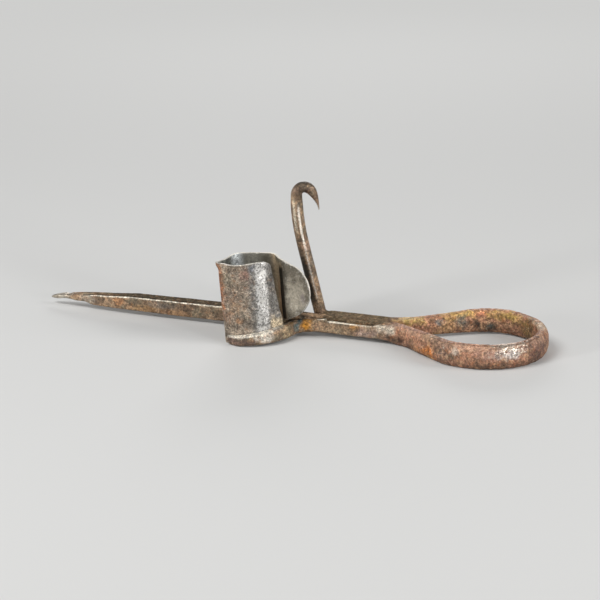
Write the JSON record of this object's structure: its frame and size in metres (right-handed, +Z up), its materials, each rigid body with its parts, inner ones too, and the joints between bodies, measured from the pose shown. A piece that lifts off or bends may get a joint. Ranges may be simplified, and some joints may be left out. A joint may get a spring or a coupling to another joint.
{
  "type": "miner's candlestick",
  "caption": "Hand-forged iron candle holder with a spike, a split sheet socket with a thumb leaf, an upright hook and a teardrop loop handle.",
  "frame": {"origin": "under the middle of the part's box, on the surface it lies on", "axes": "+X along the bar from the spike to the handle, +Y from the socket's side to the hook's side, +Z up"},
  "size_m": [0.2122, 0.0514, 0.06],
  "materials": {
    "shank_iron": "forged, brown patina, edges worn bright",
    "handle_iron": "forged, pitted reddish rust",
    "hook_iron": "forged and filed round, worn bright in streaks",
    "strap_iron": "forged, worn, with ochre rust",
    "socket_sheet": "pitted grey sheet with rust stains",
    "leaf_sheet": "sheet worn smooth by the thumb"
  },
  "bodies": {
    "holder": {"spike_shank": "shank_iron", "handle_loop": "handle_iron", "hook": "hook_iron", "socket_ring": "strap_iron", "candle_socket": "socket_sheet"},
    "leaf": {"thumb_lever": "leaf_sheet"}
  },
  "joints": [
    {"name": "thumb_press", "type": "hinge", "parent": "holder", "child": "leaf", "pos_m": [-0.01655, -0.00515, 0.016], "axis": [-0.0802, 0, 0.9968], "range_deg": [0, 8], "stiffness_Nm_per_rad": 0.5}
  ]
}
